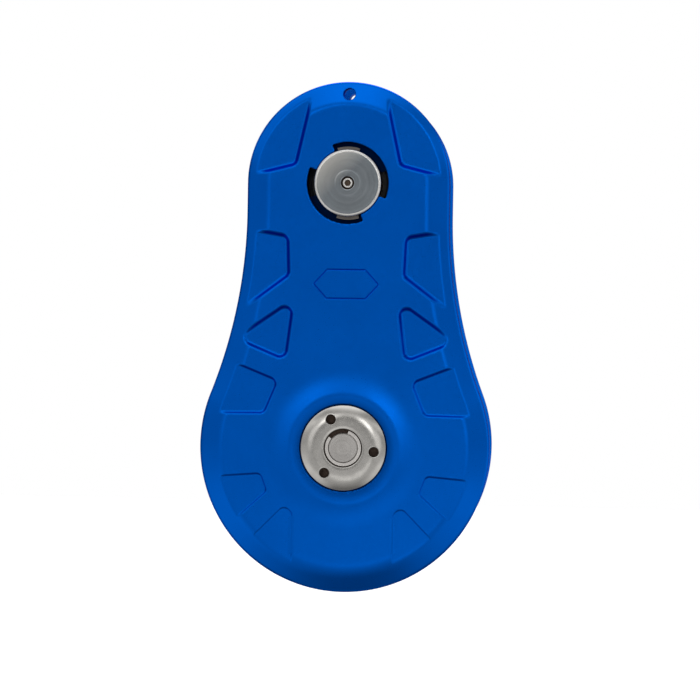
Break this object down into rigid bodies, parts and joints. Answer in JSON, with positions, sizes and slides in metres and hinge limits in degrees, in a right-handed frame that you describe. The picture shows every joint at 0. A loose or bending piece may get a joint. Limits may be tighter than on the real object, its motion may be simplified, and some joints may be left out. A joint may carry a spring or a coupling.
{
  "type": "rigging block",
  "caption": "Twin-plate rope pulley block with a swing-open rear plate, a push-and-turn lock button, a sling bushing and a needle-bearing sheave.",
  "frame": {"origin": "centre of the rope groove: on the main axle, midway between the two plates", "axes": "+Z towards the lock stud and sling bushing, +X to the right seen from the front, front plate on the -Y side"},
  "size_m": [0.121, 0.0514, 0.2127],
  "materials": {
    "anodised_plate": "blue satin anodised, finely blasted",
    "hub_steel": "satin stainless steel",
    "axle_steel": "turned stainless steel",
    "turned_steel": "turned and brushed stainless steel",
    "stud_steel": "turned stainless steel",
    "screw_steel": "polished stainless steel",
    "spring_steel": "bright spring steel",
    "bearing_steel": "ground bearing steel",
    "bearing_plastic": "black bearing polymer",
    "washer_plastic": "off-white bearing polymer",
    "seal_rubber": "black nitrile rubber",
    "sheave_aluminium": "clear anodised, rope groove slightly polished",
    "bushing_aluminium": "grey hard anodised"
  },
  "bodies": {
    "frame": {"front_cheek": "anodised_plate", "front_hub": "hub_steel", "rear_hub": "hub_steel", "main_axle": "axle_steel", "front_snap_ring": "spring_steel", "rear_snap_ring": "spring_steel", "bearing_inner_race": "bearing_steel", "front_thrust_washer": "washer_plastic", "rear_thrust_washer": "washer_plastic", "stud_sleeve": "stud_steel", "lock_spring": "spring_steel"},
    "sheave_wheel": {"sheave": "sheave_aluminium", "bearing_outer_race": "bearing_steel", "front_bearing_seal": "seal_rubber", "rear_bearing_seal": "seal_rubber"},
    "bearing_cage": {"roller_cage": "bearing_plastic", "needle_rollers": "bearing_steel"},
    "rear_plate": {"rear_cheek": "anodised_plate", "rear_cheek_bush": "bearing_plastic"},
    "sling_spool": {"sling_bushing": "bushing_aluminium", "bushing_liner": "bearing_plastic"},
    "button_slider": {"spring_seat": "spring_steel"},
    "lock_button": {"lock_stud": "stud_steel", "lug_collar": "stud_steel", "collar_pin": "spring_steel", "button_cap": "turned_steel", "cap_screw": "screw_steel"}
  },
  "joints": [
    {"name": "sheave_spin", "type": "hinge", "parent": "frame", "child": "sheave_wheel", "pos_m": [0, 0, 0], "axis": [0, 1, 0], "continuous": true},
    {"name": "cage_spin", "type": "hinge", "parent": "frame", "child": "bearing_cage", "pos_m": [0, 0, 0], "axis": [0, 1, 0], "continuous": true},
    {"name": "sling_bushing_spin", "type": "hinge", "parent": "frame", "child": "sling_spool", "pos_m": [0, 0, 0.11], "axis": [0, 1, 0], "continuous": true},
    {"name": "rear_plate_swing", "type": "hinge", "parent": "frame", "child": "rear_plate", "pos_m": [0, 0, 0], "axis": [0, 1, 0], "range_deg": [0, 110]},
    {"name": "button_press", "type": "slide", "parent": "frame", "child": "button_slider", "axis": [0, 1, 0], "range_m": [0, 0.002], "stiffness_N_per_m": 3000, "springref_m": -0.004, "deforming": ["lock_spring"]},
    {"name": "button_turn", "type": "hinge", "parent": "button_slider", "child": "lock_button", "pos_m": [0, 0, 0.11], "axis": [0, 1, 0], "range_deg": [0, 90]}
  ],
  "couplings": [
    {"joint": "cage_spin", "follows": "sheave_spin", "ratio": 0.5714}
  ]
}
